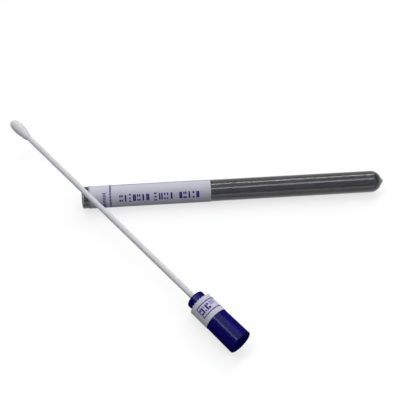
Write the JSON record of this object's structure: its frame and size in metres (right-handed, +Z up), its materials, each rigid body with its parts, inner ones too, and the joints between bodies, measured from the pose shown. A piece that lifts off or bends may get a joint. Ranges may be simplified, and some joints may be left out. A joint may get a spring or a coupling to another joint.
{
  "type": "specimen swab tube",
  "caption": "Opened swab tube: clear round-ended tube with a paper label, and a cotton-tipped stick fixed in a push-in cap that leans over the open mouth.",
  "frame": {"origin": "centre of the tube's mouth, on the axis of its bore", "axes": "+X along the tube towards its closed end, +Z up from the surface it lies on, +Y away from the pulled-out swab's cap"},
  "size_m": [0.1903, 0.1368, 0.0186],
  "materials": {
    "clear_plastic": "clear moulded plastic, smoky, glossy",
    "label_paper": "white label paper with violet print, matte",
    "cap_plastic": "dark navy blue moulded plastic, glossy",
    "stick_plastic": "white moulded plastic, satin",
    "bud_fibre": "wound white cotton fibre",
    "print_ink": "violet-blue print on the label paper"
  },
  "bodies": {
    "root": {"tube": "clear_plastic", "tube_label": "label_paper", "cap": "cap_plastic", "cap_band": "label_paper", "stick": "stick_plastic", "bud": "bud_fibre"}
  },
  "joints": []
}
